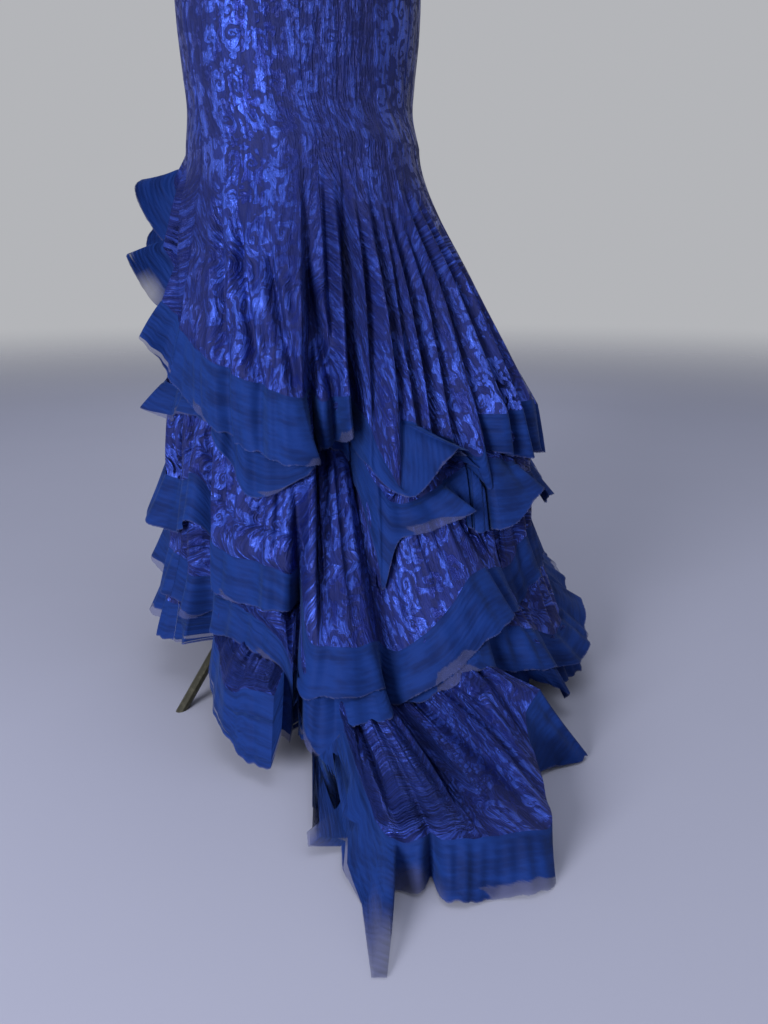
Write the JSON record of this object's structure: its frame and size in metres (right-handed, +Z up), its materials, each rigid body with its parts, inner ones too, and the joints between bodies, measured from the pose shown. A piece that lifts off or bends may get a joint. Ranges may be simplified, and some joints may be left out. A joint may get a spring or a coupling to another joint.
{
  "type": "mermaid gown on a dress form with a tripod stand",
  "caption": "Floor-length strapless mermaid gown in lace with pleated chiffon flounces and a small train, on a limbless dress form.",
  "frame": {"origin": "on the floor, under the middle of the part's box", "axes": "+Z up; -Y is the wearer's front and +X the wearer's left; the train lies towards +Y and a little to +X"},
  "size_m": [0.7406, 0.8936, 1.489],
  "materials": {
    "blue_lace": "satin",
    "blue_chiffon": "matte",
    "form_jersey": "matte",
    "stand_metal": "satin"
  },
  "bodies": {
    "root": {"bodice_front": "blue_lace", "bodice_left_back": "blue_lace", "bodice_right_back": "blue_lace", "skirt_front": "blue_lace", "skirt_left_back": "blue_lace", "skirt_back": "blue_lace", "skirt_right_back": "blue_lace", "tier_2_front": "blue_lace", "tier_2_back": "blue_lace", "tier_3_front": "blue_lace", "tier_3_back": "blue_lace", "tier_4_front": "blue_lace", "tier_4_back": "blue_lace", "tier_5_front": "blue_lace", "tier_5_back": "blue_lace", "band_1": "blue_chiffon", "band_2": "blue_chiffon", "band_3": "blue_chiffon", "band_4": "blue_chiffon", "band_5": "blue_chiffon", "form_torso": "form_jersey", "form_neck_cap": "stand_metal", "stand_pole": "stand_metal", "stand_hub": "stand_metal", "stand_pole_end": "stand_metal", "stand_leg_1": "stand_metal", "stand_leg_2": "stand_metal", "stand_leg_3": "stand_metal"}
  },
  "joints": []
}
